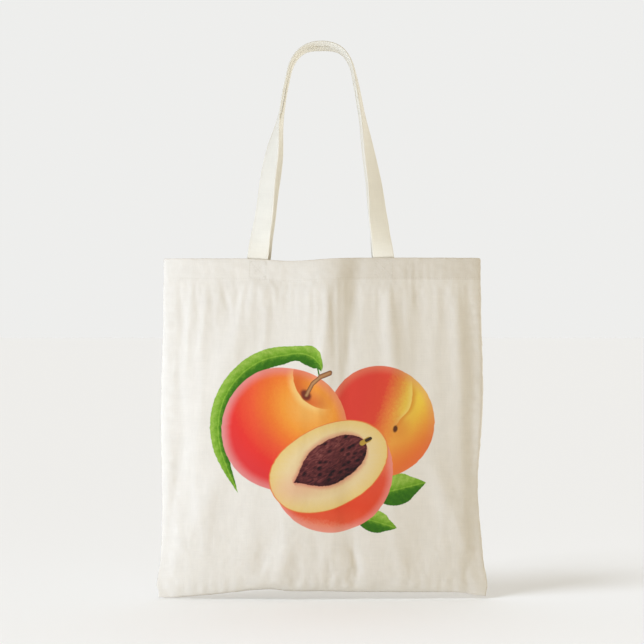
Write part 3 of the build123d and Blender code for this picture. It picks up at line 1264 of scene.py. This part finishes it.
def print_half_peach(x, z, colour, grain):
    body, out = disc(x, z, (10.4, -43.4), (73.3, 73.1), soft=0.006)
    skin = (z * 0.012 + x * 0.002 + grain * 0.2 + 1.2).ramp((
        (0.0, (238, 136, 100)), (0.10, (234, 90, 54)), (0.35, (231, 74, 40)),
        (0.8, (230, 84, 54)), (1.0, (234, 112, 76))))
    skin = (out.fade(0.86, 1.01) * 0.6).lay((238, 160, 144), skin)
    _, above = local(x, z, CUT_MIDDLE, CUT_TILT)
    colour = (body * above.fade(3.0, 0.5)).lay(skin, colour)

    rim, out = disc(x, z, CUT_MIDDLE, CUT_RADII, CUT_TILT, soft=0.008)
    colour = rim.lay((232, 128, 62), colour)
    turned = (z + 34.0).math("ARCTAN2", x - 10.0)
    fibres = noise_value(x.tree, pair(turned * 26.0, out * 3.0), 1.0, 2.0)
    flesh = (out * 0.9 + grain * 0.10 + fibres * 0.12 - 0.11).ramp((
        (0.40, (233, 198, 146)), (0.62, (237, 210, 154)), (0.86, (236, 203, 126)), (1.0, (235, 184, 88))))
    blush, _ = disc(x, z, (-30.0, -62.0), (30.0, 14.0), 20.0, soft=0.9)
    flesh = (blush * 0.5).lay((232, 168, 136), flesh)
    colour = out.fade(0.992, 0.972).lay(flesh, colour)
    return print_stone(x, z, colour)


def print_stone(x, z, colour):
    """The furrowed stone in the half peach, pointed at its lower left, with its bright tip."""
    u, v = local(x, z, (11.0, -32.6), 28.0)
    place = pair(u, v)
    furrow = noise_value(x.tree, place, (0.085, 0.24, 1), 4.0, Distortion=1.6)
    pits = texture_value(x.tree, "ShaderNodeTexVoronoi", stretched(x.tree, place, (0.11, 0.19, 1)),
                         "Distance", Scale=1.0, Randomness=1.0)
    share = (u + 3.0) / 49.0
    taper = u.fade(-4.0, -48.0) * 0.75 + 0.58
    wide = (share * share * -1.0 + 1.0).math("MAXIMUM", 0.0).math("POWER", taper)
    beyond = (share.math("ABSOLUTE") - 0.98).math("MAXIMUM", 0.0) * 49.0
    inside = wide * (u * 0.07 + 25.4) - v.math("ABSOLUTE") + (furrow - 0.5) * 3.0 - beyond * 3.0
    colour = (inside.fade(-7.0, 1.0) * 0.6).lay((206, 96, 82), colour)
    tone = furrow * 0.84 + pits.fade(0.08, 0.52) * 0.34 + v * 0.006 - inside.fade(8.0, 0.0) * 0.10 - 0.32
    stone = tone.ramp((
        (0.10, (30, 10, 12)), (0.30, (70, 26, 28)), (0.50, (104, 46, 44)),
        (0.72, (142, 78, 70)), (1.0, (184, 126, 110))))
    colour = inside.fade(-0.5, 0.6).lay(stone, colour)
    tip = stroke(x, z, (47.0, -11.5), (55.0, -7.0), 4.4)
    colour = tip.fade(0.15, 0.35).lay((188, 150, 60), colour)
    core = stroke(x, z, (52.0, -8.4), (57.0, -6.0), 3.0)
    return core.fade(0.2, 0.45).lay((62, 44, 30), colour)


def paint_fruit(tree, across, up, cloth):
    """Three peaches and their leaves, drawn layer over layer from the back."""
    x = across * 1000.0
    z = (up - PRINT_MIDDLE) * (1000.0 * PRINT_STRETCH)
    grain = noise_value(tree, pair(across, up), 300.0, 5.0, Roughness=0.7)
    colour = print_long_leaf(x, z, cloth, grain)
    colour = print_small_leaf(x, z, colour, grain, (66.0, -71.0), (123.4, -58.0), 18.4)
    colour = print_small_leaf(x, z, colour, grain, (44.0, -98.0), (88.8, -111.4), 13.2)
    colour = print_right_peach(x, z, colour, grain)
    colour = print_left_peach(x, z, colour, grain)
    colour = print_stalk(x, z, colour)
    return print_half_peach(x, z, colour, grain)


# ---------------------------------------------------------------- assembly

canvas = cloth_material("canvas", CANVAS, PLAIN_RELIEF)
printed = cloth_material("printed_canvas", CANVAS, PLAIN_RELIEF, paint_fruit)
strap_cloth = cloth_material("strap_cloth", STRAP_CANVAS, STRAP_RELIEF)
thread = thread_material("thread", THREAD)

grids = {face: face_grid(face) for face in SIDES}
grids = simulate(grids)

for face, side in SIDES.items():
    body = PANEL_BODY[face]
    outer = printed if face == "front" else canvas
    cloth, grids[face] = make_face(face, grids[face], outer, canvas)
    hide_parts(f"{face}_panel")

    tree = tree_of(cloth)
    stitches = surface_stitches(tree, side, hem_row(face))
    hem_thread = stitch_piece(f"{face}_hem_thread", stitches, thread)
    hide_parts(f"{face}_hem_stitching")
    for piece in (cloth, hem_thread):
        if face == "front":
            blend_front(piece)
        else:
            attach(piece, body)

    for place, x in zip(("left", "right"), LEGS[face][:2]):
        stitches = []
        for row in box_row(x):
            stitches += surface_stitches(tree, side, row)
        box_thread = stitch_piece(f"{face}_{place}_box_thread", stitches, thread)
        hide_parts(f"{face}_{place}_box_stitching")
        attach(box_thread, body)

    handle, strap = make_strap(face, strap_cloth)
    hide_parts(f"{face}_handle", f"{face}_left_handle_end", f"{face}_right_handle_end")
    handle_thread = stitch_piece(f"{face}_strap_thread", strap_stitches(strap), thread, STRAP_THREAD_R)
    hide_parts(f"{face}_handle_stitching")
    for piece in (handle, handle_thread):
        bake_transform(piece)

seams = {
    "left_side": side_edge(-1.0),
    "right_side": side_edge(1.0),
    "bottom": bottom_seam_edge(),
}
for name, (edge, inward) in seams.items():
    tape = seam_tape(f"{name}_seam_tape", edge, inward, canvas)
    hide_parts(f"{name}_seam")
    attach(tape, "bag")
    binding = stitch_piece(f"{name}_seam_thread", seam_stitches(edge, inward), thread, SEAM_THREAD_R)
    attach(binding, "bag")

make_camera()
bag_pieces = [item for item in bpy.context.scene.objects if item.type == "MESH" and not item.hide_render]
make_studio(bag_pieces)
